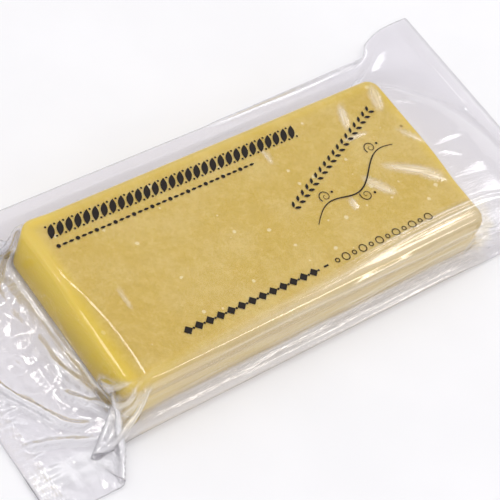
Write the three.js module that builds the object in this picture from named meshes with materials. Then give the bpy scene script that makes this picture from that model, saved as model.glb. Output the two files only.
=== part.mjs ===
// A nougat block sealed under vacuum in a clear film pouch.
//
// The pouch is one closed solid: the block with the film drawn tight over it,
// a long flange with its heat seal at each end, and a narrow flange along each
// side. The film runs from the block's top edge down to the flange, stands in
// a tent at each corner, lies in long pleats on the right end and is crumpled
// across on the left end.
//
// Millimetres, +Z up. +X runs along the block to the longer end flange, +Y to
// the back, and the origin is the middle of the block's flat underside.

import * as THREE from 'three';

// ---- The block ----------------------------------------------------------
const BLOCK_LENGTH = 160;
const BLOCK_WIDTH = 72.5;
const BLOCK_HEIGHT = 21;
const PLAN_CORNER_RADIUS = 5;
const CUT_EDGE_RADIUS = 2.6; // top edge on three sides
const MOULDED_EDGE_RADIUS = 6; // top edge on the left end
const BOTTOM_EDGE_RADIUS = 1.8;

// ---- The pouch ----------------------------------------------------------
const FLANGE_THICKNESS = 0.8;
const PARTING_HEIGHT = 10; // where the upper and lower film meet at the block
const FLANGE_REACH = { left: 42, right: 52, front: 8, back: 15 };
const RIM_HEIGHT = { left: 2.4, right: 3.2, front: 1.6, back: 5 };
const RIM_CORNER_RADIUS = 7;
const SIDE_FOOT = 0.7; // how far the film's foot stands off the block
const END_FOOT = 5;
const CORNER_FOOT = 3;
const END_FLARE = 7; // the pouch is this much wider at its ends, each side
const SEAL_WIDTH = 10;
const LEAST_CLEARANCE = 0.4; // between a flange and the table

// ---- Folds in the film --------------------------------------------------
const TENT = { reach: 40, width: 6.5, inset: 3, flare: 3 };
const PLEATS = { count: 7, width: 3, height: 1.8, margin: 9 };
const CRUMPLES = { count: 8, width: 3.2, height: 1.9, margin: 6 };
const SEED = 20;

// ---- How finely the surface is divided ----------------------------------
const STEPS = { end: 34, side: 24, corner: 8, edge: 3, wall: 3, flange: 11 };
const RING_CROWDING = 1.35; // above 1, the flange's rings crowd towards the block

const HALF_LENGTH = BLOCK_LENGTH / 2;
const HALF_WIDTH = BLOCK_WIDTH / 2;

const mix = THREE.MathUtils.lerp;
const ease = (t) => THREE.MathUtils.smoothstep(t, 0, 1);

// The points round a rounded rectangle, anticlockwise seen from above, each
// with its outward normal. Every outline has the same number of points on each
// side and corner, so that points of two outlines match.
function outline({ left, right, front, back }, radius) {
  const centres = [
    [right - radius, front + radius],
    [right - radius, back - radius],
    [left + radius, back - radius],
    [left + radius, front + radius],
  ];
  const points = [];
  centres.forEach(([cx, cy], corner) => {
    const onArc = (angle) => {
      const nx = Math.cos(angle);
      const ny = Math.sin(angle);
      return { x: cx + radius * nx, y: cy + radius * ny, nx, ny };
    };
    const start = (corner - 1) * Math.PI / 2;
    for (let i = 0; i <= STEPS.corner; i++) {
      points.push(onArc(start + (i / STEPS.corner) * Math.PI / 2));
    }
    const from = points[points.length - 1];
    const [nextX, nextY] = centres[(corner + 1) % 4];
    const to = { x: nextX + radius * from.nx, y: nextY + radius * from.ny };
    const steps = corner % 2 ? STEPS.side : STEPS.end;
    for (let i = 1; i < steps; i++) {
      const t = i / steps;
      points.push({ ...from, x: mix(from.x, to.x, t), y: mix(from.y, to.y, t) });
    }
  });
  return points;
}

const blockOutline = outline(
  { left: -HALF_LENGTH, right: HALF_LENGTH, front: -HALF_WIDTH, back: HALF_WIDTH },
  PLAN_CORNER_RADIUS,
);

// The pouch's rim, which spreads towards the ends, where no block draws it in.
const rimOutline = outline(
  {
    left: -HALF_LENGTH - FLANGE_REACH.left,
    right: HALF_LENGTH + FLANGE_REACH.right,
    front: -HALF_WIDTH - FLANGE_REACH.front,
    back: HALF_WIDTH + FLANGE_REACH.back,
  },
  RIM_CORNER_RADIUS,
).map((p) => {
  const beyond = (Math.abs(p.x) - HALF_LENGTH * 0.7) / (HALF_LENGTH * 0.5);
  return { ...p, y: p.y + Math.sign(p.y) * END_FLARE * ease(beyond) };
});

// A share for each side of a point whose outward normal is (nx, ny).
function sideShares({ nx, ny }) {
  return {
    left: Math.max(0, -nx) ** 2,
    right: Math.max(0, nx) ** 2,
    front: Math.max(0, -ny) ** 2,
    back: Math.max(0, ny) ** 2,
  };
}

function bySide(p, values) {
  const shares = sideShares(p);
  return Object.keys(shares).reduce((sum, side) => sum + shares[side] * values[side], 0);
}

// A seeded stream of numbers from 0 to 1.
function randomStream(seed) {
  let state = seed;
  return () => {
    state = (state * 1664525 + 1013904223) % 4294967296;
    return state / 4294967296;
  };
}

const random = randomStream(SEED);
const around = (value, spread) => value * (1 + spread * (random() * 2 - 1));

// A fold is a ridge along a straight line that fades at both ends or, where
// falling is true, starts at full height and falls away to nothing.
function fold(x0, y0, x1, y1, width, height, falling = false) {
  const length = Math.hypot(x1 - x0, y1 - y0);
  const ux = (x1 - x0) / length;
  const uy = (y1 - y0) / length;
  return (x, y) => {
    const along = ((x - x0) * ux + (y - y0) * uy) / length;
    const across = (x - x0) * -uy + (y - y0) * ux;
    const inside = THREE.MathUtils.clamp(along, 0, 1);
    const past = (along - inside) * length;
    const profile = Math.exp(-((across ** 2 + past ** 2) / width ** 2));
    const fade = falling ? (1 - inside) ** 1.4 : Math.sin(Math.PI * inside);
    return height * profile * fade;
  };
}

// Four tents, one from each top corner of the block out over the end flange.
const tents = [-1, 1].flatMap((end) => [-1, 1].map((side) => fold(
  end * (HALF_LENGTH - TENT.inset),
  side * (HALF_WIDTH - TENT.inset),
  end * (HALF_LENGTH + TENT.reach),
  side * (HALF_WIDTH + TENT.flare),
  TENT.width,
  BLOCK_HEIGHT - PARTING_HEIGHT - FLANGE_THICKNESS,
  true,
)));

// Pleats fan out from the block's right end to the seal.
const pleats = Array.from({ length: PLEATS.count }, (_, i) => {
  const share = ((i + 0.5) / PLEATS.count) * 2 - 1;
  const near = share * (HALF_WIDTH - PLEATS.margin) + around(0.8, 2);
  const far = share * (HALF_WIDTH + PLEATS.margin) + around(0.8, 2);
  const end = HALF_LENGTH + FLANGE_REACH.right - SEAL_WIDTH * 0.6;
  return fold(
    HALF_LENGTH + END_FOOT * 0.5, near, end, far,
    around(PLEATS.width, 0.25), around(PLEATS.height, 0.35),
  );
});

// Crumples cross the left flange, most of them nearly in line with the block's end.
const crumples = Array.from({ length: CRUMPLES.count }, (_, i) => {
  const middle = HALF_LENGTH + END_FOOT + (i / CRUMPLES.count)
    * (FLANGE_REACH.left - SEAL_WIDTH - END_FOOT);
  const centre = (random() * 2 - 1) * HALF_WIDTH * 0.5;
  const half = HALF_WIDTH * mix(0.35, 0.7, random());
  const skew = (random() * 2 - 1) * CRUMPLES.margin;
  return fold(
    -middle - skew, centre - half, -middle + skew, centre + half,
    around(CRUMPLES.width, 0.25), around(CRUMPLES.height, 0.3),
  );
});

const heightOf = (folds, x, y) => folds.reduce((sum, at) => sum + at(x, y), 0);

// The middle of the flange's upper film at point p of a ring that lies at
// share of the way from the block to the rim.
function flangeHeight(p, share) {
  const drop = ease(Math.min(1, share * 1.15));
  const base = mix(PARTING_HEIGHT, bySide(p, RIM_HEIGHT), drop);
  const quiet = 1 - 0.6 * ease((share - 0.7) / 0.3);
  return base + quiet * heightOf([...pleats, ...crumples], p.x, p.y);
}

// ---- Rings of the surface, from the top face outwards and round underneath --
function topEdgeRings() {
  const rings = [];
  for (let i = 0; i <= STEPS.edge; i++) {
    const turn = (i / STEPS.edge) * Math.PI / 2;
    rings.push(blockOutline.map((p) => {
      const radius = mix(CUT_EDGE_RADIUS, MOULDED_EDGE_RADIUS, sideShares(p).left);
      const inset = radius * (1 - Math.sin(turn));
      const z = BLOCK_HEIGHT - radius * (1 - Math.cos(turn));
      return [p.x - p.nx * inset, p.y - p.ny * inset, z];
    }));
  }
  return rings;
}

// The foot of the film: where it meets the flange beside the block.
function footOf(p, share = 1) {
  const corner = 2 * Math.abs(p.nx * p.ny);
  const reach = share * (mix(SIDE_FOOT, END_FOOT, p.nx ** 2) + CORNER_FOOT * corner);
  return { ...p, x: p.x + p.nx * reach, y: p.y + p.ny * reach };
}

// The upper film outside the block, with the tents that stand on the flange.
function upperFilm(at, share) {
  const height = flangeHeight(at, share) + heightOf(tents, at.x, at.y);
  return Math.max(height, LEAST_CLEARANCE + FLANGE_THICKNESS);
}

function wallRings(edge) {
  const rings = [];
  for (let i = 1; i < STEPS.wall; i++) {
    const t = i / STEPS.wall;
    rings.push(edge.map(([x, y, z], k) => {
      const foot = footOf(blockOutline[k]);
      return [mix(x, foot.x, t), mix(y, foot.y, t), mix(z, upperFilm(foot, 0), t ** 0.8)];
    }));
  }
  return rings;
}

function flangeRings(underneath) {
  const rings = [];
  for (let i = 0; i <= STEPS.flange; i++) {
    const share = (i / STEPS.flange) ** RING_CROWDING;
    rings.push(blockOutline.map((p, k) => {
      const foot = footOf(p, underneath ? 0.5 : 1);
      const rim = rimOutline[k];
      const at = { ...p, x: mix(foot.x, rim.x, share), y: mix(foot.y, rim.y, share) };
      const lowerFilm = Math.max(flangeHeight(at, share) - FLANGE_THICKNESS, LEAST_CLEARANCE);
      return [at.x, at.y, underneath ? lowerFilm : upperFilm(at, share)];
    }));
  }
  return underneath ? rings.reverse() : rings;
}

function undersideRings() {
  const inset = (depth, z) => blockOutline.map((p) => [
    p.x - p.nx * depth, p.y - p.ny * depth, z,
  ]);
  return [inset(0, BOTTOM_EDGE_RADIUS), inset(BOTTOM_EDGE_RADIUS, 0)];
}

// A closed surface through the rings, with the first and last filled flat.
function loft(rings) {
  const count = rings[0].length;
  const index = [];
  for (let r = 0; r + 1 < rings.length; r++) {
    for (let i = 0; i < count; i++) {
      const j = (i + 1) % count;
      const [a, b] = [r * count + i, r * count + j];
      const [c, d] = [a + count, b + count];
      index.push(a, c, b, b, c, d);
    }
  }
  const fill = (ring, start, facingUp) => {
    const flat = ring.map(([x, y]) => new THREE.Vector2(x, y));
    for (const [a, b, c] of THREE.ShapeUtils.triangulateShape(flat, [])) {
      index.push(start + a, start + (facingUp ? b : c), start + (facingUp ? c : b));
    }
  };
  fill(rings[0], 0, true);
  fill(rings[rings.length - 1], (rings.length - 1) * count, false);
  const geometry = new THREE.BufferGeometry();
  geometry.setAttribute('position', new THREE.Float32BufferAttribute(rings.flat(2), 3));
  geometry.setIndex(index);
  geometry.computeVertexNormals();
  return geometry;
}

function sealedPouch() {
  const edge = topEdgeRings();
  const rings = [
    ...edge,
    ...wallRings(edge[edge.length - 1]),
    ...flangeRings(false),
    ...flangeRings(true),
    ...undersideRings(),
  ];
  const material = new THREE.MeshStandardMaterial({
    color: 0xd8bf7c, roughness: 0.35, metalness: 0,
  });
  const mesh = new THREE.Mesh(loft(rings), material);
  mesh.name = 'sealed_pouch';
  return mesh;
}

const nougat = new THREE.Group();
nougat.add(sealedPouch());

export default nougat;
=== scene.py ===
"""A flat nougat block, vacuum sealed in a clear film pouch that carries a black print.

The film is a sheet of points that keep their distances. It is laid over the block, drawn down by
the vacuum and drawn in at its rims, in three rounds with finer and finer cells. It is then smoothed
where it is held taut, and creased and crumpled where it is loose. The film is worked out in
millimetres; every mesh is in metres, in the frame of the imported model.
"""

from math import cos, hypot, pi, radians, sin, tau

import bmesh
import bpy
import numpy as np
from mathutils import Matrix, Vector
from mathutils.bvhtree import BVHTree


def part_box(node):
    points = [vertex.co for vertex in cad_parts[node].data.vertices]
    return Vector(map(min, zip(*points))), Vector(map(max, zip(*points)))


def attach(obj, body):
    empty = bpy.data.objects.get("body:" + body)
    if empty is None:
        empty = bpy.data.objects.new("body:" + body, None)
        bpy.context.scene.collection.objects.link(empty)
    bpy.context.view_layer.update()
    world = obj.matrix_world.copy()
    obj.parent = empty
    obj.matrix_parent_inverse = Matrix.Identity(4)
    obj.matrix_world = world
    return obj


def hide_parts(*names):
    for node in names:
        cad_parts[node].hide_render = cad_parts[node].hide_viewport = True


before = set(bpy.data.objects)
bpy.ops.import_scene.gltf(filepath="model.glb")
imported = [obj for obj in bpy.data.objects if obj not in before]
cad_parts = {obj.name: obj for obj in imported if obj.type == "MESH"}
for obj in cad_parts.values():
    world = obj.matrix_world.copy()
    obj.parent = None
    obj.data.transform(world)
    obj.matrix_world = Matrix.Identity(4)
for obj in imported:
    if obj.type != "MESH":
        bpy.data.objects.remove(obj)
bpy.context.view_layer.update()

MM = 0.001
TINY = 1e-9  # keeps divisions from failing at zero

# ---- The block, in millimetres ------------------------------------------------
HALF_LENGTH = 80.0
HALF_WIDTH = 36.25
HEIGHT = (np.array(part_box("sealed_pouch")[1]) / MM)[2]
PLAN_CORNER_RADIUS = 5.0
CUT_EDGE_RADIUS = 2.6
FRONT_EDGE_RADIUS = 5.0
LEFT_EDGE_RADIUS = 1.3
BOTTOM_EDGE_RADIUS = 1.8
BEVEL_WIDTH = 6.0  # along the moulded left end, at its widest
BEVEL_MIDDLE = -20.0  # it is widest here
BEVEL_NARROWING = 0.0042  # and narrower by this for each square millimetre from there
BEVEL_LEAST = 2.0
BEVEL_SLOPE = 0.62
BEVEL_ROUNDING = 1.2
LUMP_SEED = 5
LUMP_WAVES = 28  # the faces' low relief: how many waves, how long and how high
LUMP_LENGTHS = (9.0, 46.0)
LUMP_HEIGHT = 0.042
BLOCK_CELL = 1.25
RIM_WIDTH = 7.0  # the paste is clearer and yellower this near to its edges

# ---- The pouch, in millimetres ------------------------------------------------
PARTING = {"left": 2.5, "front": 5.5, "back": 7.0}  # where the upper and lower film meet at the block
REACH = {"left": 120.5, "right": 130.0, "front": 43.5, "back": 54.5}  # where the rims end up
SPENT = {"left": 21.5, "right": 2.5, "front": 14.5, "back": 12.5}  # film that walls and folds take up
FLAT = {side: reach + SPENT[side] for side, reach in REACH.items()}
# On the flat film, the line that ends up where a wall meets its flange.
FOOT = {"left": HALF_LENGTH + 16.0, "front": HALF_WIDTH + 13.0, "back": HALF_WIDTH + 12.0}
VACUUM_LOST = 0.85  # the share of the vacuum that the film past the right end doesn't feel
GATHER = {"left": 0.05, "right": 0.02}  # how much narrower the folds make each end
RIM_HEIGHT = 0.8
FALL = {"left": 20.0, "right": 40.0, "front": 8.0, "back": 14.0}  # the flange reaches the table here
SKIN = 0.25  # the film stands this far off the nougat
UNDER = 0.15  # and the nougat this far off the table
SEAL_WIDTH = 8.0
CLING_GAP = 0.2  # between the two films of a flange
TOUCH_FROM, TOUCH_OVER = 1.2, 0.9  # the film looks as if it touches from here on, fully after that
LOWER_LIFT = 0.1  # the lower film's height beside the block, at least
LOWER_SKIN = 0.12  # the lower film stands this far off the nougat
LOWEST_FILM = 0.08  # and this far off the table
SHARP = 0.5  # a bend this sharp turns the film white, in turns per millimetre

SEED = 20
FIRST_CELL = 5.0  # the film's cells before they are refined
START_GAP = 1.5  # the flat film starts this far above the block
UNREST = (0.15, 0.2, 0.08)  # chance moves before each round, which make the folds uneven
WAVE_HEIGHT, WAVE_LENGTH = 0.9, 7.5  # of the first waves in the left flange
WAVE_BAND = 24.0  # how wide their band is
CALM_ROUNDS = 90  # of smoothing, where the film is taut

# The air trapped past the right end, which carries the film from the block's top down to the seal.
AIR_FROM, AIR_TO = 77.0, 124.0
AIR_HEIGHT = 21.3
AIR_END_HEIGHT = 2.0
AIR_BULGE = 2.1  # a higher power keeps it tall for longer before it falls to its end
AIR_HALF_WIDTH = 33.8
AIR_FLANK = 2.2  # how steeply it falls to the front and the back
AIR_NARROWING = 4.0  # towards the seal
AIR_BACK_NARROWING = 8.0  # more, at the back
AIR_ROUNDING = 2.0
AIR_END_ROUNDING = 2.0  # more, at its end
AIR_BACK_ROUNDING = 6.0  # and more there at the back
AIR_BLEND = 50.0  # the front turns into the back over this width
AIR_DIP = 0.4  # in the middle

# The web of film that stands at the front left corner, against the block's end.
WEB_HEIGHT = 17.0
WEB_INSET = 1.0
WEB_FALL = 1.3  # towards the back, along the block's end
WEB_FRONT_FALL = 4.0
WEB_FLARE = 2.6  # away from the end

# Where air is left between the film and the nougat: middle, half length, half width, turn, height.
AIR_POCKETS = [
    ((65.3, -5.9), 12.5, 2.7, -33, 0.14),
    ((70.2, -10.9), 7.0, 2.4, -44, 0.14),
    ((75.4, 6.8), 6.5, 1.6, -56, 0.10),
    ((48.8, -6.4), 7.5, 2.4, -57, 0.14),
    ((56.2, 24.8), 6.5, 2.1, 66, 0.14),
    ((73.9, 27.0), 7.0, 2.6, 69, 0.14),
    ((54.6, 15.5), 6.0, 1.2, -3, 0.12),
    ((17.8, 22.3), 3.8, 1.2, 88, 0.12),
    ((34.6, -8.6), 3.0, 1.6, 80, 0.14),
    ((-63.8, -4.9), 6.0, 1.0, 83, 0.08),
]
TALLEST_POCKET = max(pocket[-1] for pocket in AIR_POCKETS)
POCKET_OUTSET = 1.15  # a pocket's lift begins at this share of its size
POCKET_STEEPNESS = 1.35
POCKET_SPACING = 50.0  # sets the threads in one pocket apart from those in the next

# Folds that stand out, on the flat film: from, to, half width, height.
LONG_FOLDS = [
    ((4, -31.4), (122, -31.2), 0.8, 0.55),  # along the front edge and past its right end
    ((10, -33.8), (124, -33.6), 0.8, 0.50),
    ((-60, -41), (60, -42.5), 1.0, 0.40),
    ((76, -2.0), (112, 1), 1.2, 0.26),  # off the right end
    ((76, -3.6), (90, -10), 1.2, 0.24),
    ((76, 22), (92, 16), 1.3, 0.32),
    ((78, -16), (124, -12), 2.8, 0.31),
    ((102, 3.5), (116, 6.5), 1.0, 0.14),
    ((92, 18), (122, 22), 2.6, 0.20),
    ((-99, 24), (-98.5, -26), 0.8, 0.5),  # at the foot of the left end
    ((-101, 6), (-102.5, -20), 1.0, 0.6),
    ((-108, -4), (-102.5, -33), 1.4, 1.0),
]
FOLD_BOW = 0.02  # a fold bows aside by this share of its run
FACETS = 150  # of the crumpled left flange
FACET_AREA = ((-145, -62), (-FOOT["left"] + 3, 70))  # their middles lie between these corners
FACET_SLOPE = 0.13
FACET_STRETCH = 0.55  # they are wider from front to back
FACET_RISE = 4.0  # they level off this far from their valleys


def smooth(t):
    """0 below 0, 1 above 1, and a soft step between."""
    t = np.clip(t, 0, 1)
    return t * t * (3 - 2 * t)


def ramp(value, start, width):
    """0 up to start, 1 from start + width on, and a soft step between."""
    return smooth((value - start) / width)


# ---- Form of the block ---------------------------------------------------------
def lumps(x, y):
    """Low relief of the nougat's faces: many faint waves in all directions."""
    draw = np.random.default_rng(LUMP_SEED)
    total = np.zeros_like(x)
    for _ in range(LUMP_WAVES):
        turn = draw.uniform(0, tau)
        length = draw.uniform(*LUMP_LENGTHS)
        phase = draw.uniform(0, tau)
        total += np.sin(tau * (x * cos(turn) + y * sin(turn)) / length + phase)
    return LUMP_HEIGHT * total / np.sqrt(LUMP_WAVES)


def block_gap(p):
    """The distance from points to the rounded block, and the way out of it."""
    x, y, z = p[..., 0], p[..., 1], p[..., 2]
    # The top edge is rounder towards the front and sharper at the left end, except at its corner.
    top_radius = CUT_EDGE_RADIUS + (FRONT_EDGE_RADIUS - CUT_EDGE_RADIUS) * ramp(-y, 0, 20)
    top_radius += (LEFT_EDGE_RADIUS - top_radius) * ramp(-x, 66, 10) * ramp(y, -36, 8)
    radius = np.where(z > HEIGHT / 2, top_radius, BOTTOM_EDGE_RADIUS)

    past_x = np.abs(x) - (HALF_LENGTH - PLAN_CORNER_RADIUS)
    past_y = np.abs(y) - (HALF_WIDTH - PLAN_CORNER_RADIUS)
    out_x, out_y = np.maximum(past_x, 0), np.maximum(past_y, 0)
    reach = np.sqrt(out_x**2 + out_y**2)
    plan = reach + np.minimum(np.maximum(past_x, past_y), 0) - PLAN_CORNER_RADIUS
    corner = reach > 0
    safe = np.where(corner, reach, 1)
    way_x = np.where(corner, out_x / safe, past_x > past_y) * np.sign(x)
    way_y = np.where(corner, out_y / safe, past_x <= past_y) * np.sign(y)

    bevel_width = np.maximum(BEVEL_WIDTH - BEVEL_NARROWING * (y - BEVEL_MIDDLE) ** 2, BEVEL_LEAST)
    past_bevel = bevel_width - HALF_LENGTH - x
    bevel = BEVEL_SLOPE * (past_bevel + np.sqrt(past_bevel**2 + BEVEL_ROUNDING**2)) / 2
    half = np.where(z > HEIGHT / 2, HEIGHT / 2 + lumps(x, y) - bevel, HEIGHT / 2 - UNDER)
    side = plan + radius
    rise = np.abs(z - HEIGHT / 2) - (half - radius)
    side_out, rise_out = np.maximum(side, 0), np.maximum(rise, 0)
    reach = np.sqrt(side_out**2 + rise_out**2)
    gap = reach + np.minimum(np.maximum(side, rise), 0) - radius
    edge = reach > 0
    safe = np.where(edge, reach, 1)
    outward = np.where(edge, side_out / safe, side > rise)
    upward = np.where(edge, rise_out / safe, side <= rise) * np.sign(z - HEIGHT / 2)
    return gap, np.stack([outward * way_x, outward * way_y, upward], -1)


def in_pockets(x, y):
    """For each air pocket: how far along and across it places are, and how far they are lifted."""
    for (cx, cy), long, wide, turn, height in AIR_POCKETS:
        c, s = cos(radians(turn)), sin(radians(turn))
        along = (x - cx) * c + (y - cy) * s
        across = (y - cy) * c - (x - cx) * s
        inside = POCKET_OUTSET - np.sqrt((along / long) ** 2 + (across / wide) ** 2)
        yield along, across, height * smooth(POCKET_STEEPNESS * inside)


def pocket_lift(x, y):
    """How far the trapped air lifts the film."""
    lift = np.zeros_like(x)
    for _, _, here in in_pockets(x, y):
        lift = np.maximum(lift, here)
    return lift


def pocket_places(x, y):
    """Places measured along and across the pocket that they are in."""
    lift = np.zeros_like(x)
    places = np.zeros(x.shape + (3,))
    for number, (along, across, here) in enumerate(in_pockets(x, y)):
        place = np.stack([along, across, 0 * x + POCKET_SPACING * number], -1)
        places = np.where((here > lift)[..., None], place, places)
        lift = np.maximum(lift, here)
    return places


# ---- The film ------------------------------------------------------------------
class Film:
    """A grid of film points. Links between neighbours keep their lengths."""

    PULL, PUSH, SHEAR, BEND = 1.0, 0.55, 0.4, 0.12  # how firmly the links resist
    DAMPING = 0.96
    GRIP = 6.0  # the vacuum's reach from the block
    ROUNDS = 2  # of corrections in each step
    FLANGE_RUBBING = 0.06

    def __init__(self, points, cell):
        self.points = points
        self.cell = cell
        self.speed = np.zeros_like(points)

    def links(self):
        """Pairs of neighbours as slices, in batches where no point comes twice."""
        rows, columns = self.points.shape[:2]

        def every_other(count, step, start):
            first = slice(start, count - step, 2 * step)
            return first, slice(start + step, count, 2 * step)

        def beside(count, shift):
            first, second = slice(0, count - abs(shift)), slice(abs(shift), count)
            return (first, second) if shift >= 0 else (second, first)

        kinds = [
            ((1, 0), self.PUSH, self.PULL),
            ((0, 1), self.PUSH, self.PULL),
            ((1, 1), self.SHEAR, self.SHEAR),
            ((1, -1), self.SHEAR, self.SHEAR),
            ((2, 0), self.BEND, 0),
            ((0, 2), self.BEND, 0),
        ]
        batches = []
        for (du, dv), push, pull in kinds:
            rest = hypot(du * self.cell[0], dv * self.cell[1])
            step = du or dv
            for start in range(2 * step):
                if du:
                    a, b = every_other(rows, step, start)
                    c, d = beside(columns, dv)
                else:
                    a, b = beside(rows, 0)
                    c, d = every_other(columns, step, start)
                batches.append(((a, c), (b, d), rest, push, pull))
        return batches

    def keep_lengths(self, batches):
        """Moves linked points together or apart by a share of what they are out."""
        for first, second, rest, push, pull in batches:
            between = self.points[second] - self.points[first]
            length = np.sqrt(np.einsum("...i,...i", between, between)) + TINY
            stretch = length - rest
            share = 0.5 * np.where(stretch > 0, pull, push) * stretch / length
            between *= share[..., None]
            self.points[first] += between
            self.points[second] -= between

    def settle(self, steps, weight, vacuum, rubbing, hold):
        """Moves the film for some steps under its weight and the vacuum, round what is in its way."""
        batches = self.links()
        for step in range(steps):
            before = self.points.copy()
            gap, outward = block_gap(self.points)
            pull = vacuum * np.exp(-np.maximum(gap, 0) / self.GRIP) * suction(self.points)
            self.speed *= self.DAMPING
            self.speed[..., 2] -= weight
            self.speed -= outward * pull[..., None]
            self.points = self.points + self.speed
            for _ in range(self.ROUNDS):
                self.keep_lengths(batches)
                self.stay_out(before, rubbing)
                hold(self, (step + 1) / steps)
            self.speed = self.points - before

    def stay_out(self, before, rubbing):
        """Keeps the film off the block and above what else holds it up, and lets it rub there."""
        p = self.points
        gap, outward = block_gap(p)
        depth = SKIN + pocket_lift(p[..., 0], p[..., 1]) - gap
        touching = depth > 0
        p += outward * np.where(touching, depth, 0)[..., None]
        move = p - before
        slide = move - (move * outward).sum(-1, keepdims=True) * outward
        p -= np.where(touching, rubbing, 0)[..., None] * slide
        x, y = p[..., 0], p[..., 1]
        floor = np.maximum(np.maximum(lower_flange(x, y), trapped_air(x, y)), corner_web(x, y))
        lying = p[..., 2] < floor
        p[..., 2] = np.where(lying, floor, p[..., 2])
        p[..., :2] -= np.where(lying, self.FLANGE_RUBBING, 0)[..., None] * (p - before)[..., :2]

    def refine(self, axes=(0, 1)):
        """Halves the cells, with new points on a smooth curve between the old ones."""
        for axis in axes:
            p = np.moveaxis(self.points, axis, 0)
            finer = np.empty((2 * len(p) - 1,) + p.shape[1:])
            finer[::2] = p
            finer[1::2] = (p[:-1] + p[1:]) / 2
            finer[3:-3:2] = (9 * (p[1:-2] + p[2:-1]) - (p[:-3] + p[3:])) / 16
            self.points = np.moveaxis(finer, 0, axis)
            self.cell[axis] /= 2
        self.points = np.ascontiguousarray(self.points)
        self.speed = np.zeros_like(self.points)


def suction(p):
    """Where the vacuum holds the film: above the parting line, and little past the right end."""
    above = ramp(p[..., 2] - parting(p[..., 0], p[..., 1]), 0.5, 3)
    past_right = ramp(p[..., 0] - HALF_LENGTH, -1, 4)
    return above * (1 - VACUUM_LOST * past_right)


def parting(x, y):
    """The height at which the two films part round the block: lowest at its left end."""
    backness = smooth(y / HALF_WIDTH / 2 + 0.5)
    front_to_back = PARTING["front"] + (PARTING["back"] - PARTING["front"]) * backness
    return front_to_back + (PARTING["left"] - front_to_back) * ramp(-x, 60, 20)


def lower_flange(x, y):
    """Height of the lower flange: the parting line beside the block, falling to the table."""
    past_x = np.maximum(np.abs(x) - HALF_LENGTH, 0)
    past_y = np.maximum(np.abs(y) - HALF_WIDTH, 0)
    fall_x = np.where(x < 0, FALL["left"], FALL["right"])
    fall_y = np.where(y < 0, FALL["front"], FALL["back"])
    fallen = smooth(np.sqrt((past_x / fall_x) ** 2 + (past_y / fall_y) ** 2))
    part = parting(x, y)
    return part + (RIM_HEIGHT - part) * fallen


def trapped_air(x, y):
    """Height of the air trapped past the right end."""
    along = np.clip((x - AIR_FROM) / (AIR_TO - AIR_FROM), 0, 1)
    crown = AIR_HEIGHT - (AIR_HEIGHT - AIR_END_HEIGHT) * along**AIR_BULGE
    backness = smooth(y / AIR_BLEND + 0.5)
    aside = np.abs(y) - AIR_HALF_WIDTH + (AIR_NARROWING + AIR_BACK_NARROWING * backness) * along
    rounding = AIR_ROUNDING + (AIR_END_ROUNDING + AIR_BACK_ROUNDING * backness) * along
    flank = (aside + np.sqrt(aside**2 + rounding**2)) / 2
    dip = AIR_DIP * np.sin(pi * along) * np.clip(1 - (y / AIR_HALF_WIDTH) ** 2, 0, 1)
    return np.where((along > 0) & (along < 1), crown - AIR_FLANK * flank - dip, 0)


def corner_web(x, y):
    """Height of the web of film at the front left corner."""
    away = np.maximum(-x - (HALF_LENGTH - WEB_INSET), 0)
    along = y + HALF_WIDTH - WEB_INSET
    back, front = np.maximum(along, 0), np.maximum(-along, 0)
    return WEB_HEIGHT - WEB_FALL * back - WEB_FLARE * away - WEB_FRONT_FALL * front


def flat_places(film):
    """Where each film point lay before the pouch was filled."""
    rows, columns = film.points.shape[:2]
    u = -FLAT["left"] + np.arange(rows) * film.cell[0]
    v = -FLAT["front"] + np.arange(columns) * film.cell[1]
    return np.meshgrid(u, v, indexing="ij")


def hold_rims(first, last):
    """Draws the rims in to their places while the share done goes from first to last."""
    seal_pull = (0.5, 0.2, 0.1)  # in x, y and z: the share of its way that a seal goes each time
    rim_pull = 0.4  # the same for a side rim, beside the block

    def hold(film, time):
        share = smooth(first + (last - first) * time)
        u, v = flat_places(film)
        band = max(1, int(SEAL_WIDTH / film.cell[0]))
        for rows, side, way in ((slice(0, band), "left", -1), (slice(-band, None), "right", 1)):
            drawn_in = way * share * (FLAT[side] - REACH[side])
            seal = film.points[rows]
            seal[..., 0] += seal_pull[0] * (u[rows] - drawn_in - seal[..., 0])
            seal[..., 1] += seal_pull[1] * (v[rows] * (1 - GATHER[side] * share) - seal[..., 1])
            seal[..., 2] += seal_pull[2] * share * (RIM_HEIGHT + CLING_GAP - seal[..., 2])
        for column, side, way in ((0, "front", -1), (-1, "back", 1)):
            drawn_in = way * share * (FLAT[side] - REACH[side])
            rim = film.points[:, column]
            beside = rim_pull * ramp(HALF_LENGTH + 22 - np.abs(u[:, column]), 0, 26)
            rim[:, 0] += beside * (u[:, column] - rim[:, 0])
            rim[:, 1] += beside * (v[:, column] - drawn_in - rim[:, 1])

    return hold


def end_waves(u, v):
    """The waves that become folds across the left flange: a band of them that wanders a little."""
    place = (-FOOT["left"] - u) / WAVE_BAND
    wander = 3 * np.sin(v / 19) + 1.5 * np.sin(v / 7 + 1)
    return np.sin(tau * (u + wander) / WAVE_LENGTH) * np.sin(pi * np.clip(place, 0, 1))


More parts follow.
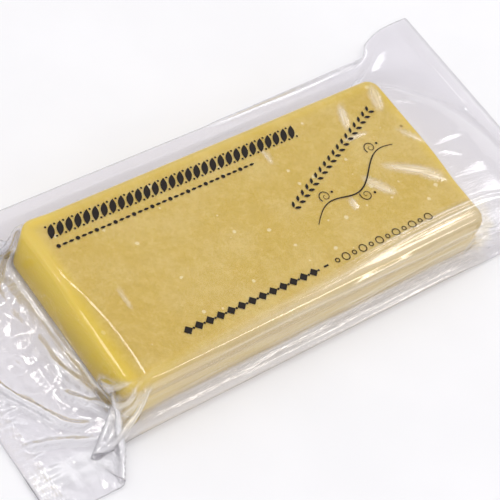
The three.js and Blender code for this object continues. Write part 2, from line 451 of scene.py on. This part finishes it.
def settled_film():
    """The upper film, drawn over the block: coarse at first, then finer and finer."""
    draw = np.random.default_rng(SEED)
    rows = round((FLAT["left"] + FLAT["right"]) / FIRST_CELL)
    columns = round((FLAT["front"] + FLAT["back"]) / FIRST_CELL)
    u = np.linspace(-FLAT["left"], FLAT["right"], rows + 1)
    v = np.linspace(-FLAT["front"], FLAT["back"], columns + 1)
    x, y = np.meshgrid(u, v, indexing="ij")
    start = np.stack([x, y, np.full_like(x, HEIGHT + START_GAP)], -1)
    start[..., 2] += draw.normal(0, UNREST[0], x.shape)
    film = Film(start, [u[1] - u[0], v[1] - v[0]])

    film.settle(400, weight=0.02, vacuum=0.03, rubbing=0, hold=hold_rims(0, 0.55))
    film.refine()
    film.points += draw.normal(0, UNREST[1], film.points.shape)
    film.points[..., 2] += WAVE_HEIGHT * end_waves(*flat_places(film))
    film.settle(400, weight=0.01, vacuum=0.02, rubbing=0.1, hold=hold_rims(0.55, 1))
    film.refine()
    film.points += draw.normal(0, UNREST[2], film.points.shape)
    film.settle(300, weight=0.006, vacuum=0.01, rubbing=0.3, hold=hold_rims(1, 1))
    film.refine(axes=(1,))
    calm(film)
    u, v = flat_places(film)
    film.points += surface_normals(film.points) * (creases(u, v) + crumples(u, v))[..., None]
    return film


def taut(u, v):
    """Where the film is held taut: over the trapped air, and up the block's left end."""
    over_air = ramp(u - HALF_LENGTH, 4, 8) * ramp(FLAT["right"] - SEAL_WIDTH - u, 0, 4)
    left_wall = ramp(u, -99, 3) * ramp(-u, 82, 3) * ramp(v, -26, 6)
    return over_air + left_wall * ramp(-v, -34, 6)


def calm(film):
    """Smooths the film where it is taut, and keeps it off the block."""
    p = film.points
    share = 0.5 * taut(*flat_places(film))[1:-1, 1:-1, None]
    for _ in range(CALM_ROUNDS):
        between = (p[:-2, 1:-1] + p[2:, 1:-1] + p[1:-1, :-2] + p[1:-1, 2:]) / 4
        p[1:-1, 1:-1] += share * (between - p[1:-1, 1:-1])
    gap, outward = block_gap(p)
    p += outward * np.maximum(SKIN + pocket_lift(p[..., 0], p[..., 1]) - gap, 0)[..., None]


def crease_lines():
    """All sharp folds: those above, and chance ones that run the way each side is drawn."""
    draw = np.random.default_rng(SEED + 1)
    lines = list(LONG_FOLDS)
    for _ in range(17):  # along the front face and its flange
        start = draw.uniform(-95, 40)
        length = draw.uniform(40, 130)
        v = -draw.uniform(HALF_WIDTH, FOOT["front"] + 7)
        end = (start + length, v + draw.normal(0, 0.8))
        lines.append(((start, v), end, draw.uniform(0.6, 1.1), draw.uniform(0.15, 0.4)))
    for _ in range(9):  # along the back flange
        start = draw.uniform(-95, 60)
        v = FOOT["back"] + draw.uniform(0, 10)
        end = (start + draw.uniform(25, 70), v + draw.normal(0, 1.5))
        lines.append(((start, v), end, draw.uniform(0.7, 1.4), draw.uniform(0.1, 0.3)))
    for _ in range(11):  # across the left flange
        u = -FOOT["left"] - draw.uniform(1, 24)
        v = draw.uniform(-50, 25)
        end = (u + draw.normal(0, 4), v + draw.uniform(15, 40))
        lines.append(((u, v), end, draw.uniform(0.9, 1.6), draw.uniform(0.4, 1.0)))
    return lines


def creases(u, v):
    """How far the sharp folds stand out of the film."""
    height = np.zeros_like(u)
    for (u0, v0), (u1, v1), half_width, tall in crease_lines():
        run = hypot(u1 - u0, v1 - v0)
        along = ((u - u0) * (u1 - u0) + (v - v0) * (v1 - v0)) / run**2
        aside = ((u - u0) * (v1 - v0) - (v - v0) * (u1 - u0)) / run
        bend = FOLD_BOW * run * np.sin(pi * np.clip(along, 0, 1))
        taper = np.sin(pi * np.clip(along, 0, 1)) ** 0.7
        height += tall * taper * np.exp(-(((aside + bend) / half_width) ** 2))
    return height


def crumples(u, v):
    """Facets of the crumpled left flange: flat bits that meet in sharp valleys."""
    draw = np.random.default_rng(SEED + 2)
    middles = draw.uniform(*FACET_AREA, (FACETS, 2))
    off_u = u[..., None] - middles[:, 0]
    off_v = FACET_STRETCH * (v[..., None] - middles[:, 1])
    nearest = np.partition(np.sqrt(off_u**2 + off_v**2), 1, axis=-1)
    rise = np.minimum(nearest[..., 1] - nearest[..., 0], FACET_RISE)
    place = (-FOOT["left"] - u) / (FLAT["left"] - FOOT["left"] - SEAL_WIDTH)
    return FACET_SLOPE * rise * np.sin(pi * np.clip(place, 0, 1)) ** 0.5


def surface_normals(p):
    """Unit normals of a grid of points."""
    normal = np.cross(np.gradient(p, axis=0), np.gradient(p, axis=1))
    return normal / (np.linalg.norm(normal, axis=-1, keepdims=True) + TINY)


def sharpness(film):
    """How sharply the film bends at each point, in turns per millimetre."""
    normal = surface_normals(film.points)
    along = np.gradient(normal, film.cell[0], axis=0)
    across = np.gradient(normal, film.cell[1], axis=1)
    return np.sqrt((along**2).sum(-1) + (across**2).sum(-1))


def lower_film(upper):
    """The pouch's other film: it clings to the upper one in the flanges and runs under the block."""
    gap, _ = block_gap(upper)
    clinging = upper - CLING_GAP * surface_normals(upper)
    x, y, z = upper[..., 0], upper[..., 1], upper[..., 2]
    part = parting(x, y)
    mirrored = np.clip(part * (HEIGHT - z) / (HEIGHT - part), 0, part)
    beside = np.minimum(lower_flange(x, y), z) - CLING_GAP
    over_air = ramp(x - HALF_LENGTH, -2, 6)
    away = (ramp(gap, 1, 9) * (1 - over_air))[..., None]
    under = np.where(gap < TOUCH_FROM, mirrored, np.maximum(beside, LOWER_LIFT))
    below = np.concatenate([upper[..., :2], under[..., None]], -1)
    lower = below * (1 - away) + clinging * away
    gap, outward = block_gap(lower)
    lower += outward * np.maximum(LOWER_SKIN - gap, 0)[..., None]
    lower[..., 2] = np.maximum(lower[..., 2], LOWEST_FILM)
    return lower


# ---- Meshes --------------------------------------------------------------------
def add_object(name, mesh, finish):
    """A smooth object with that mesh and finish."""
    piece = bpy.data.objects.new(name, mesh)
    bpy.context.scene.collection.objects.link(piece)
    mesh.materials.append(finish)
    for face in mesh.polygons:
        face.use_smooth = True
    return piece


def dress(piece):
    """The piece rides with the pouch."""
    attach(piece, "root")
    return piece


def put_attribute(mesh, name, values, vector=False):
    """Gives the mesh one value, or one vector, for each of its points."""
    kind, field = ("FLOAT_VECTOR", "vector") if vector else ("FLOAT", "value")
    attribute = mesh.attributes.new(name, kind, "POINT")
    attribute.data.foreach_set(field, np.ravel(values).astype(np.float32))


def quads(index):
    """The faces of a grid of points, from the grid of their numbers."""
    corners = [index[:-1, :-1], index[1:, :-1], index[1:, 1:], index[:-1, 1:]]
    return np.stack(corners, -1).reshape(-1, 4)


def film_pouch(film, finish):
    """Both films, joined round the rim into one closed bag."""
    upper = film.points
    lower = lower_film(upper)
    lower[[0, -1]] = upper[[0, -1]]
    lower[:, [0, -1]] = upper[:, [0, -1]]
    rows, columns = upper.shape[:2]
    above = np.arange(rows * columns).reshape(rows, columns)
    below = above + rows * columns
    below[[0, -1]] = above[[0, -1]]
    below[:, [0, -1]] = above[:, [0, -1]]
    used = np.unique(np.concatenate([above.ravel(), below.ravel()]))
    renumber = np.zeros(2 * rows * columns, int)
    renumber[used] = np.arange(len(used))

    def for_both(upper_values, lower_values=None):
        """Values for every point of the bag, from a grid for each film or one for both."""
        lower_values = upper_values if lower_values is None else lower_values
        both = [grid.reshape(rows * columns, -1) for grid in (upper_values, lower_values)]
        return np.concatenate(both)[used]

    faces = np.concatenate([quads(above), quads(below)[:, ::-1]])
    mesh = bpy.data.meshes.new("film_pouch")
    mesh.from_pydata((for_both(upper, lower) * MM).tolist(), [], renumber[faces].tolist())

    x, y = upper[..., 0], upper[..., 1]
    gap, _ = block_gap(upper)
    lift = pocket_lift(x, y) / TALLEST_POCKET
    touching = ramp(-gap, -TOUCH_FROM, TOUCH_OVER) * (1 - lift)
    u, v = flat_places(film)
    past_seal = np.maximum(-u - FLAT["left"], u - FLAT["right"]) + SEAL_WIDTH
    put_attribute(mesh, "touching", for_both(touching))
    put_attribute(mesh, "pocket", for_both(lift))
    put_attribute(mesh, "pocket_place", for_both(pocket_places(x, y) * MM), vector=True)
    put_attribute(mesh, "crumpled", for_both(smooth(sharpness(film) / SHARP)))
    put_attribute(mesh, "seal", for_both(ramp(past_seal, 0, 0.8)))
    put_attribute(mesh, "flat_place", for_both(np.stack([u, v, 0 * u], -1) * MM), vector=True)
    piece = add_object("film_pouch", mesh, finish)
    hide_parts("sealed_pouch")
    return dress(piece)


def nougat_block(finish):
    """The block itself: a fine box drawn onto the rounded form, with the relief in its faces."""
    halves = (HALF_LENGTH, HALF_WIDTH, HEIGHT / 2)
    shape = bmesh.new()
    bmesh.ops.create_cube(shape, size=2)
    for axis, half in enumerate(halves):
        edges = [e for e in shape.edges if abs((e.verts[0].co - e.verts[1].co)[axis]) > 1]
        cuts = round(2 * half / BLOCK_CELL)
        bmesh.ops.subdivide_edges(shape, edges=edges, cuts=cuts, use_grid_fill=True)
    mesh = bpy.data.meshes.new("nougat_block")
    shape.to_mesh(mesh)
    shape.free()
    points = np.array([v.co for v in mesh.vertices])
    points *= halves
    points[:, 2] += HEIGHT / 2
    for _ in range(6):  # each time nearer, as the way out turns at the edges
        gap, outward = block_gap(points)
        points -= outward * gap[:, None]
    mesh.vertices.foreach_set("co", (points * MM).ravel())
    mesh.update()
    inset = np.minimum(HALF_LENGTH - np.abs(points[:, 0]), HALF_WIDTH - np.abs(points[:, 1]))
    put_attribute(mesh, "rim", smooth(1 - inset / RIM_WIDTH))
    piece = add_object("nougat_block", mesh, finish)
    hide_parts("sealed_pouch")
    return dress(piece)


# ---- Shader arithmetic -----------------------------------------------------------
class Value:
    """An output socket that can be used in arithmetic."""

    def __init__(self, finish, socket):
        self.finish = finish
        self.socket = socket

    def math(self, operation, *others):
        """The result of a Math node on this value and the others."""
        sockets = dict(enumerate((self,) + others))
        return self.finish.node("Math", {"operation": operation}, sockets)

    def __add__(self, other):
        return self.math("ADD", other)

    def __radd__(self, other):
        return self.math("ADD", other)

    def __sub__(self, other):
        return self.math("SUBTRACT", other)

    def __rsub__(self, other):
        return self.finish.node("Math", {"operation": "SUBTRACT"}, {0: other, 1: self})

    def __mul__(self, other):
        return self.math("MULTIPLY", other)

    def __rmul__(self, other):
        return self.math("MULTIPLY", other)

    def __pow__(self, other):
        return self.math("POWER", other)

    def step(self, low, high):
        """A soft step from 0 at low to 1 at high."""
        settings = {"interpolation_type": "SMOOTHSTEP"}
        return self.finish.node("MapRange", settings, {0: self, 1: low, 2: high})


class Finish:
    """A material under construction."""

    def __init__(self, name):
        self.material = bpy.data.materials.new(name)
        self.material.use_nodes = True
        self.tree = self.material.node_tree
        self.tree.nodes.clear()
        self.place = self.node("TexCoord", output="Object")

    def node(self, kind, settings=None, sockets=None, output=0):
        """A node of that kind, with its settings and its sockets' values or links."""
        made = self.tree.nodes.new("ShaderNode" + kind)
        for name, value in (settings or {}).items():
            setattr(made, name, value)
        for name, value in (sockets or {}).items():
            if isinstance(value, Value):
                self.tree.links.new(value.socket, made.inputs[name])
            else:
                made.inputs[name].default_value = value
        return None if output is None else Value(self, made.outputs[output])

    def noise(self, size, detail=3, at=None, stretch=(1, 1, 1), roughness=0.5):
        """Soft noise from 0 to 1 with features of about that size, in metres."""
        at = at or self.place
        if stretch != (1, 1, 1):
            at = self.node("VectorMath", {"operation": "MULTIPLY"}, {0: at, 1: stretch})
        sockets = {"Vector": at, "Scale": 1 / size, "Detail": detail, "Roughness": roughness}
        return self.node("TexNoise", None, sockets)

    def noise_colour(self, size):
        """The same noise as a direction that wanders."""
        return self.node("TexNoise", None, {"Vector": self.place, "Scale": 1 / size}, output="Color")

    def specks(self, at, spacing, largest, softness, rarer=0.0):
        """Specks of all sizes up to that share of their spacing."""
        sockets = {"Vector": at, "Scale": 1 / spacing}
        middle = self.node("TexVoronoi", None, sockets)
        cell = self.node("TexVoronoi", None, sockets, output="Color")
        luck = self.node("SeparateColor", None, {0: cell})
        return ((luck - rarer) * (largest / (1 - rarer)) - middle).step(0.0, softness)

    def blend(self, share, first, second):
        """The first colour, and that share of the second."""
        return self.node("Mix", {"data_type": "RGBA"}, {0: share, 6: first, 7: second}, output=2)

    def axis(self, vector, number):
        """The x, y or z of a vector, as number 0, 1 or 2."""
        return self.node("SeparateXYZ", None, {0: vector}, output=number)

    def bump(self, height, depth):
        """A normal with that relief, depth in metres."""
        return self.node("Bump", None, {"Height": height, "Distance": depth, "Strength": 1.0})

    def attribute(self, name, output="Fac"):
        return self.node("Attribute", {"attribute_name": name}, output=output)

    def done(self, shader):
        self.node("OutputMaterial", None, {"Surface": shader}, output=None)
        return self.material


def rgb(red, green, blue):
    """A colour given as it looks on a screen, from 0 to 255, as light."""
    def light(c):
        c /= 255
        return c / 12.92 if c <= 0.04045 else ((c + 0.055) / 1.055) ** 2.4
    return (light(red), light(green), light(blue), 1)


def nougat_finish():
    """Smooth golden paste: faint clouds, a fine grain, pale crumbs, yellower near its edges, a painted
    highlight on the moulded end's bevel and painted shade at that end's foot.
    """
    f = Finish("nougat_paste")
    clouds = f.noise(0.016, detail=4)
    mottle = f.noise(0.0034, detail=3, roughness=0.6)
    grain = f.noise(0.0009, detail=2)
    colour = f.blend(clouds.step(0.3, 0.7), rgb(208, 176, 57), rgb(216, 188, 96))
    colour = f.blend(mottle.step(0.45, 0.75) * 0.5, colour, rgb(225, 199, 112))
    colour = f.blend((1 - mottle.step(0.3, 0.52)) * 0.4, colour, rgb(202, 170, 60))
    colour = f.blend((1 - grain.step(0.3, 0.55)) * 0.22, colour, rgb(186, 158, 60))
    colour = f.blend(grain.step(0.5, 0.75) * 0.22, colour, rgb(226, 208, 140))

    # Pale crumbs and a few small pits, with ragged outlines.
    ragged = f.node("VectorMath", {"operation": "SCALE"}, {0: f.noise_colour(0.0012), "Scale": 0.0007})
    spread = f.node("VectorMath", {"operation": "ADD"}, {0: f.place, 1: ragged})
    crumb = f.specks(spread, 0.0058, 0.18, 0.03)
    colour = f.blend(crumb * 0.75, colour, rgb(240, 224, 170))
    pit = f.specks(spread, 0.019, 0.055, 0.02, rarer=0.6)
    colour = f.blend(pit * 0.75, colour, rgb(140, 108, 36))

    # Yellower rims, most of all at the moulded left end, where the extra yellow is partly a painted
    # highlight on its bevel; that end's face gets painted shade towards its foot.
    rim = f.attribute("rim")
    x = f.axis(f.place, 0)
    z = f.axis(f.place, 2)
    moulded = (x * -1).step(0.052, 0.077)
    # The rims' yellow is the paste's own colour; the moulded end's extra share is partly a painted
    # highlight on its bevel.
    colour = f.blend(rim * (0.45 + moulded * 0.5), colour, rgb(240, 210, 40))
    # Painted shade: the moulded end's face is painted browner and darker towards its foot.
    painted_shade_at_foot = (x * -1).step(0.0780, 0.0800) * (1 - z.step(0.002, 0.0195))
    colour = f.blend(painted_shade_at_foot * 0.4, colour, rgb(158, 130, 62))

    relief = mottle * 0.35 + grain * 0.25 + crumb * 0.5 - pit * 1.2
    shader = f.node("BsdfPrincipled", {"subsurface_method": "RANDOM_WALK"}, {
        "Base Color": colour,
        "Roughness": 0.46 + grain * 0.16,
        "Subsurface Weight": 0.25,
        "Subsurface Radius": (1.0, 0.6, 0.2),
        "Subsurface Scale": 0.0018,
        "Specular IOR Level": 0.25,
        "Normal": f.bump(relief, 0.00012),
    })
    return f.done(shader)


def film_finish():
    """Clear film: it mirrors more where it is seen along its surface and where it is creased."""
    f = Finish("clear_film")
    flat = f.attribute("flat_place", output="Vector")
    touching = f.attribute("touching")
    pocket = f.attribute("pocket")
    seal = f.attribute("seal")
    crumpled = f.attribute("crumpled")
    loose = 1 - touching

    # The ends, and the front wall, whose upper limit slants a little.
    u = f.axis(flat, 0)
    v = f.axis(flat, 1)
    left_end = (u * -1).step(0.084, 0.094)
    right_end = u.step(0.079, 0.086)
    front = (u * 0.05 - v).step(0.0302, 0.0378) * (1 - (v * -1).step(0.046, 0.054) * 0.7)
    front = front * (1 - right_end * 0.8)

    # Relief: folds the way the film is drawn, a fine unrest where it is loose, and the seals' ribs.
    along = f.noise(0.0024, detail=3, at=flat, stretch=(0.05, 1, 1), roughness=0.6)
    across = f.noise(0.0034, detail=4, at=flat, stretch=(1, 0.22, 1), roughness=0.6)
    fine = f.noise(0.0026, detail=3, at=flat)
    ribs = (u * (tau / 0.0011)).math("SINE")
    folds = along * (1 - left_end) * (1 - right_end * 0.75) + across * left_end
    height = folds * loose + fine * (loose * 0.25 * (1 - right_end) + 0.08) + ribs * seal * 0.3
    normal = f.bump(height, 0.00022)

    # How much it hides: haze where it is loose or creased, milk on the front wall and in the pockets.
    facing = f.node("LayerWeight", None, {"Blend": 0.5, "Normal": normal}, output="Facing")
    veil = f.noise(0.011, detail=4, at=flat, stretch=(0.35, 1, 1)).step(0.4, 0.8)
    streaks = f.noise(0.0018, detail=4, at=flat, stretch=(0.02, 1, 1), roughness=0.6).step(0.35, 0.72)
    haze = loose * veil * 0.05 + crumpled * (loose * 0.20 + 0.10) + seal * 0.04
    inside = f.attribute("pocket_place", output="Vector")
    threads = f.noise(0.0011, detail=3, at=inside, stretch=(0.07, 1, 1), roughness=0.6).step(0.35, 0.7)
    milk = front * (streaks * 0.13 + 0.31) + pocket * (threads * 0.24 + 0.24)
    cream = (front * (1 - left_end) * (1 - right_end)).math("MAXIMUM", pocket)
    share = facing**5 * 0.9 + 0.05 + loose * 0.03 + haze + milk
    blur = crumpled * 0.13 + front * 0.06 + pocket * 0.25 + fine * 0.02 + right_end * 0.05
    gloss = f.node("BsdfPrincipled", None, {
        "Base Color": f.blend(cream, (0.97, 0.965, 0.98, 1), (0.98, 0.91, 0.76, 1)),
        "Metallic": 0.8,
        "Roughness": 0.065 + blur,
        "Normal": normal,
    })
    clear = f.node("BsdfTransparent", None, {"Color": (0.955, 0.948, 0.958, 1)})
    shader = f.node("MixShader", None, {0: share.math("MINIMUM", 1), 1: clear, 2: gloss})
    return f.done(shader)


def ink_finish():
    """Black ink, a little thin in places."""
    f = Finish("black_ink")
    thin = f.noise(0.0011, detail=3).step(0.45, 0.8)
    colour = f.blend(thin, rgb(26, 18, 12), rgb(46, 36, 24))
    shader = f.node("BsdfPrincipled", None, {
        "Base Color": colour,
        "Roughness": 0.45 + thin * 0.2,
        "Specular IOR Level": 0.2,
        "Normal": f.bump(thin, 0.00002),
    })
    return f.done(shader)


def table_finish():
    """A pale matt board."""
    f = Finish("pale_board")
    tone = f.noise(0.06, detail=3).step(0.3, 0.7)
    colour = f.blend(tone, (0.89, 0.89, 0.90, 1), (0.92, 0.92, 0.93, 1))
    shader = f.node("BsdfPrincipled", None, {
        "Base Color": colour,
        "Roughness": 0.6 + tone * 0.1,
        "Normal": f.bump(f.noise(0.002), 0.00002),
    })
    return f.done(shader)


# ---- Print ----------------------------------------------------------------------
# Each shape is a stroke: the points of its middle line and its width at each of them.
FINEST = 0.06  # no stroke is thinner
INK_LIFT = 0.03  # the ink stands this far off the film


def straight(cx, cy, long, turn, t):
    """Points on a straight line, from -1 to 1 of half its length from its middle."""
    return np.stack([cx + t * long / 2 * cos(turn), cy + t * long / 2 * sin(turn)], 1)


def leaf(cx, cy, long, wide, turn, points=9):
    """A pointed oval."""
    t = np.linspace(-1, 1, points)
    return straight(cx, cy, long, turn, t), wide * (1 - t**2)


def diamond(cx, cy, long, wide, turn, points=5):
    """A diamond with one corner to each end."""
    t = np.linspace(-1, 1, points)
    return straight(cx, cy, long, turn, t), wide * (1 - np.abs(t))


def dot(cx, cy, radius, points=9):
    """A round dot."""
    t = -np.cos(np.linspace(0, pi, points))
    return np.stack([cx + radius * t, np.full(points, cy)], 1), 2 * radius * np.sqrt(1 - t**2)


def ring(cx, cy, radius, thick, points=21):
    """A thin ring."""
    angle = np.linspace(0, tau, points)
    line = np.stack([cx + radius * np.cos(angle), cy + radius * np.sin(angle)], 1)
    return line, np.full(points, thick)


def curl(cx, cy, radius, turns, first, thick, points=40):
    """A spiral that opens outwards and thins towards its middle."""
    t = np.linspace(0, 1, points)
    angle = first + tau * turns * t
    reach = radius * (0.12 + 0.88 * t)
    line = np.stack([cx + reach * np.cos(angle), cy + reach * np.sin(angle)], 1)
    return line, thick * (0.35 + 0.65 * t)


def row(start, end, spacing):
    """Evenly spaced places from start to end, and the row's heading."""
    (x0, y0), (x1, y1) = start, end
    length = hypot(x1 - x0, y1 - y0)
    count = round(length / spacing)
    t = (np.arange(count) + 0.5) / count
    return list(zip(x0 + (x1 - x0) * t, y0 + (y1 - y0) * t)), np.arctan2(y1 - y0, x1 - x0)


def almond_band():
    """The heading: bold slanting almonds, with a bead over and under each gap."""
    strokes = []
    places, heading = row((-73.1, 28.4), (34.7, 27.4), 3.6)
    for x, y in places:
        strokes.append(leaf(x, y, 6.2, 2.5, heading + 1.05))
        strokes.append(dot(x - 0.9, y + 2.35, 0.42))
        strokes.append(dot(x + 0.9, y - 2.35, 0.42))
    return strokes


def beaded_line():
    """Under the heading: a fine line of beads and dashes."""
    strokes = []
    places, heading = row((-73.5, 22.3), (11.5, 21.8), 2.6)
    for i, (x, y) in enumerate(places):
        strokes.append(leaf(x, y, 2.2, 0.95, heading) if i % 3 else dot(x, y, 0.8))
    return strokes


def slanting_sprig():
    """A slanting stem with pairs of small leaves."""
    strokes = []
    places, heading = row((12.4, -0.9), (69.1, 23.9), 3.4)
    for x, y in places:
        for side in (-1, 1):
            cx = x - sin(heading) * side * 1.05
            cy = y + cos(heading) * side * 1.05
            strokes.append(leaf(cx, cy, 2.7, 1.15, heading + side * 0.65))
    return strokes


def vine():
    """Below the sprig: a thin wavy vine with curls and buds."""
    t = np.linspace(0, 1, 60)
    x = 16.7 + 49 * t
    y = -10.5 + 17 * t + 3.0 * np.sin(tau * 1.5 * t)
    strokes = [(np.stack([x, y], 1), 0.28 + 0.3 * np.sin(pi * t))]
    for place, way in ((12, 1), (30, -1), (48, 1)):
        cx, cy = x[place], y[place] + way * 2.7
        strokes.append(curl(cx, cy, 2.6, way * 1.4, way * 1.2, 0.42))
        strokes.append(dot(cx + 3.6, cy + way * 0.6, 0.5))
    return strokes


def lower_border():
    """Along the front: bold diamonds, a dash, and then thin rings."""
    strokes = []
    places, heading = row((-53.8, -25.2), (4.6, -26.0), 4.4)
    for x, y in places:
        strokes.append(diamond(x, y, 3.6, 3.5, heading))
        strokes.append(dot(x + 2.2, y - 0.1, 0.42))
    strokes.append((np.array([(7.2, -25.8), (9.2, -25.8)]), np.array([0.7, 0.7])))
    places, _ = row((11.6, -25.7), (58.8, -25.7), 3.9)
    for i, (x, y) in enumerate(places):
        strokes.append(ring(x, y, 1.45 if i % 2 else 0.8, 0.36))
    return strokes


def black_print(film, finish):
    """The print as a thin layer on the film."""
    surface = film_surface(film)
    points, faces = [], []
    for line, width in almond_band() + beaded_line() + slanting_sprig() + vine() + lower_border():
        way = np.gradient(line, axis=0)
        way /= np.linalg.norm(way, axis=1, keepdims=True)
        side = np.stack([-way[:, 1], way[:, 0]], 1) * np.maximum(width, FINEST)[:, None] / 2
        for left, right in zip(line + side, line - side):
            points += [(*left, lift_to(surface, *left)), (*right, lift_to(surface, *right))]
        first = len(points) - 2 * len(line)
        faces += [(i, i + 1, i + 3, i + 2) for i in range(first, len(points) - 2, 2)]
    mesh = bpy.data.meshes.new("black_print")
    mesh.from_pydata((np.array(points) * MM).tolist(), [], faces)
    mesh.flip_normals()
    return dress(add_object("black_print", mesh, finish))


def film_surface(film):
    """The upper film as a surface on which heights can be found."""
    rows, columns = film.points.shape[:2]
    faces = quads(np.arange(rows * columns).reshape(rows, columns))
    return BVHTree.FromPolygons(film.points.reshape(-1, 3).tolist(), faces.tolist())


def lift_to(surface, x, y):
    """The height of the ink at that place."""
    hit = surface.ray_cast(Vector((x, y, 2 * HEIGHT)), Vector((0, 0, -1)))[0]
    return hit.z + INK_LIFT


# ---- Stage, light and camera --------------------------------------------------------
TABLE_HALF = 2.5  # in metres, as are the lamps' distance and sizes
LAMP_DISTANCE = 1.3
ROOM_LOW, ROOM_HIGH = 0.63, 1.0  # the room's brightness level with the table and high above it
ROOM_HIGH_FROM = 0.8
ROOM_COLOUR = (0.985, 0.975, 1.0, 1)
WHITE = (1, 1, 1)
WARM = (1, 0.97, 0.92)
LAMPS = [  # name, direction from the block, size, brightness, colour
    ("window", (0.52, 0.35, 0.78), (0.7, 0.6), 0.4, WHITE),
    ("left_edge", (0.03, 0.345, 0.94), (0.22, 0.10), 9, WARM),
    ("bevel_foot", (-0.75, 0.30, 0.55), (0.12, 0.35), 5, WARM),
    ("front_edge", (0.59, -0.13, 0.79), (0.25, 0.08), 3.8, WARM),
    ("front_fold", (0.52, -0.71, 0.48), (0.40, 0.06), 5, WARM),
    ("right_folds", (0.83, 0.175, 0.53), (0.12, 1.0), 4, WHITE),
    ("fill", (-0.75, -0.5, 0.45), (0.9, 0.7), 0.5, WHITE),
]
CAMERA_AZIMUTH, CAMERA_ELEVATION, CAMERA_ROLL = -56.114, 51.25, 24.518
CAMERA_DISTANCE = 0.6545
CAMERA_TARGET = (-5.65, -3.44, HEIGHT / 2)
CAMERA_LENS, CAMERA_SENSOR = 134.24, 36


def table(finish):
    """The pale floor that the pack lies on."""
    half = TABLE_HALF
    corners = [(-half, -half, 0), (half, -half, 0), (half, half, 0), (-half, half, 0)]
    mesh = bpy.data.meshes.new("table")
    mesh.from_pydata(corners, [], [(0, 1, 2, 3)])
    add_object("table", mesh, finish)


def softbox(name, direction, size, brightness, colour):
    """A lamp in that direction from the block, facing it."""
    place = Vector(direction).normalized() * LAMP_DISTANCE
    lamp = bpy.data.lights.new(name, "AREA")
    lamp.shape, lamp.size, lamp.size_y = "RECTANGLE", size[0], size[1]
    lamp.energy = brightness * pi * size[0] * size[1]
    lamp.color = colour
    holder = bpy.data.objects.new(name, lamp)
    holder.location = place
    holder.rotation_euler = (-place).to_track_quat("-Z", "Y").to_euler()
    bpy.context.scene.collection.objects.link(holder)


def studio_light():
    """An even room, a large soft lamp overhead, and narrow lamps that draw lines on the film."""
    world = bpy.data.worlds.new("room")
    bpy.context.scene.world = world
    world.use_nodes = True
    nodes, links = world.node_tree.nodes, world.node_tree.links
    way = nodes.new("ShaderNodeSeparateXYZ")
    links.new(nodes.new("ShaderNodeTexCoord").outputs["Generated"], way.inputs[0])
    sky = nodes.new("ShaderNodeMapRange")
    links.new(way.outputs["Z"], sky.inputs["Value"])
    sky.inputs["To Min"].default_value = ROOM_LOW
    sky.inputs["To Max"].default_value = ROOM_HIGH
    sky.inputs["From Max"].default_value = ROOM_HIGH_FROM
    room = nodes["Background"]
    room.inputs["Color"].default_value = ROOM_COLOUR
    links.new(sky.outputs["Result"], room.inputs["Strength"])
    for lamp in LAMPS:
        softbox(*lamp)


def camera():
    """Looks down on the block from its left front corner, rolled with the pack."""
    azimuth, elevation, roll = map(radians, (CAMERA_AZIMUTH, CAMERA_ELEVATION, CAMERA_ROLL))
    target = Vector(CAMERA_TARGET) * MM
    back = Vector((sin(azimuth) * cos(elevation), -cos(azimuth) * cos(elevation), sin(elevation)))
    right = Vector((0, 0, 1)).cross(back).normalized()
    up = back.cross(right)
    turned_right = cos(roll) * right + sin(roll) * up
    turned_up = cos(roll) * up - sin(roll) * right
    lens = bpy.data.cameras.new("camera")
    lens.sensor_width = CAMERA_SENSOR
    lens.lens = CAMERA_LENS
    holder = bpy.data.objects.new("camera", lens)
    turn = Matrix((turned_right, turned_up, back)).transposed().to_4x4()
    holder.matrix_world = Matrix.Translation(target + back * CAMERA_DISTANCE) @ turn
    bpy.context.scene.collection.objects.link(holder)
    bpy.context.scene.camera = holder


film = settled_film()
film_pouch(film, film_finish())
nougat_block(nougat_finish())
black_print(film, ink_finish())
table(table_finish())
studio_light()
camera()
bpy.context.scene.view_settings.view_transform = "Standard"
